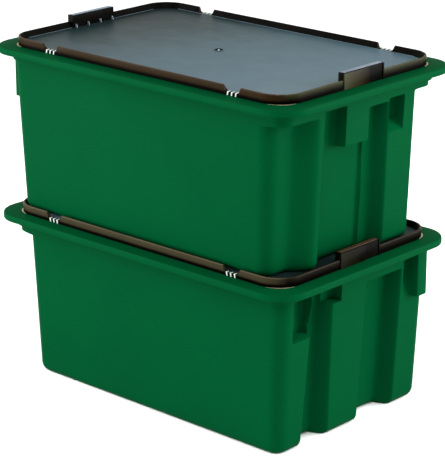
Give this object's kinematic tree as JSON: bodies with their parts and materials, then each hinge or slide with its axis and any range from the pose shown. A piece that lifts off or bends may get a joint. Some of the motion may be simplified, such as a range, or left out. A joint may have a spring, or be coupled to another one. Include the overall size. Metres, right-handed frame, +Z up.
{
  "type": "stackable storage bin",
  "caption": "Stack-and-nest storage bins with ribbed, pocketed ends and a rolled rim, closed by recessed lids with end stops, stood one on the other.",
  "frame": {"origin": "middle of the stack's footprint, on the floor it stands on", "axes": "+X along the bins' length, towards the lower bin's three-column end; +Y across the width; +Z up"},
  "size_m": [0.6, 0.39, 0.546],
  "materials": {
    "bin_plastic": "fine satin moulded polyethylene, dark green",
    "lid_plastic": "glossy moulded polypropylene, near black"
  },
  "bodies": {
    "lower_bin": {"lower_bin": "bin_plastic"},
    "lower_lid": {"lower_lid": "lid_plastic"},
    "upper_bin": {"upper_bin": "bin_plastic"},
    "upper_lid": {"upper_lid": "lid_plastic"}
  },
  "joints": [
    {"name": "lower_lid_lift", "type": "slide", "parent": "lower_bin", "child": "lower_lid", "axis": [0, 0, 1], "range_m": [0, 0.3]},
    {"name": "upper_bin_lift", "type": "slide", "parent": "lower_lid", "child": "upper_bin", "axis": [0, 0, 1], "range_m": [0, 0.3]},
    {"name": "upper_lid_lift", "type": "slide", "parent": "upper_bin", "child": "upper_lid", "axis": [0, 0, 1], "range_m": [0, 0.3]}
  ]
}
